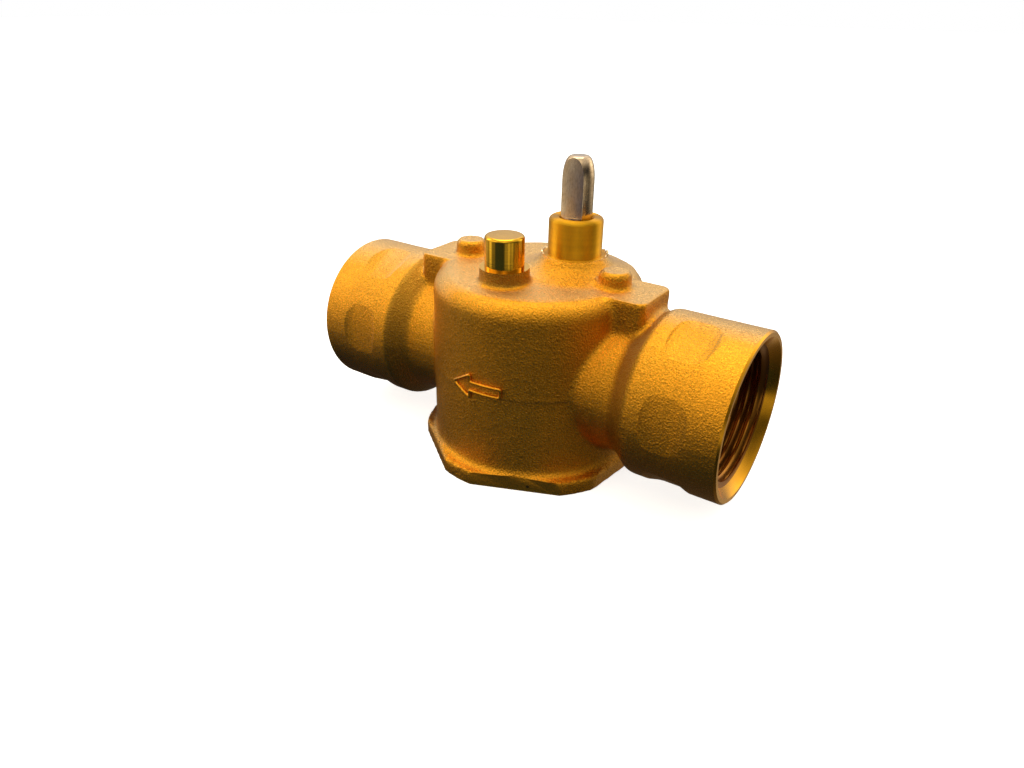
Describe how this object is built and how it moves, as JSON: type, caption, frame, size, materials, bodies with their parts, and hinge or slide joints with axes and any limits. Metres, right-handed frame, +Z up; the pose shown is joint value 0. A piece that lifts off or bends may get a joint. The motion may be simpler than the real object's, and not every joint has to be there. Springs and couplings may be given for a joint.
{
  "type": "zone valve",
  "caption": "Two-way rotary zone valve body with female threaded ports, a hexagonal foot, a locating post and a flatted stem that swings a shoe over the outlet seat.",
  "frame": {"origin": "centre of the underside of the hexagonal foot, under the middle of the pipe run", "axes": "+X along the pipe run towards the inlet port, +Z up along the stem, +Y towards the side away from the locating post"},
  "size_m": [0.09, 0.0464, 0.059],
  "materials": {
    "cast_brass": "shot-blasted casting, satin",
    "turned_brass": "turned, bright",
    "stem_metal": "drawn bar, bright",
    "stainless": "bright",
    "seal_rubber": "matt moulded",
    "bearing_plastic": "matt turned"
  },
  "bodies": {
    "body": {"valve_body": "cast_brass", "base_cap": "turned_brass", "base_cap_seal": "seal_rubber", "seat_bush": "turned_brass", "seat_seal": "seal_rubber", "lower_bush": "bearing_plastic", "upper_bush": "turned_brass", "stop_pin_closed": "stainless", "stop_pin_open": "stainless"},
    "stem": {"valve_stem": "stem_metal", "shoe_arm": "turned_brass", "shoe_pad": "seal_rubber", "shoe_screw_left": "stainless", "shoe_screw_right": "stainless", "arm_pin": "stainless", "stem_clip": "stainless", "stem_seal_lower": "seal_rubber", "stem_seal_upper": "seal_rubber", "seal_spacer": "bearing_plastic", "thrust_washer": "bearing_plastic"}
  },
  "joints": [
    {"name": "stem_turn", "type": "hinge", "parent": "body", "child": "stem", "pos_m": [0.0055, 0.0039, 0.019], "axis": [0, 0, 1], "range_deg": [0, 60]}
  ]
}
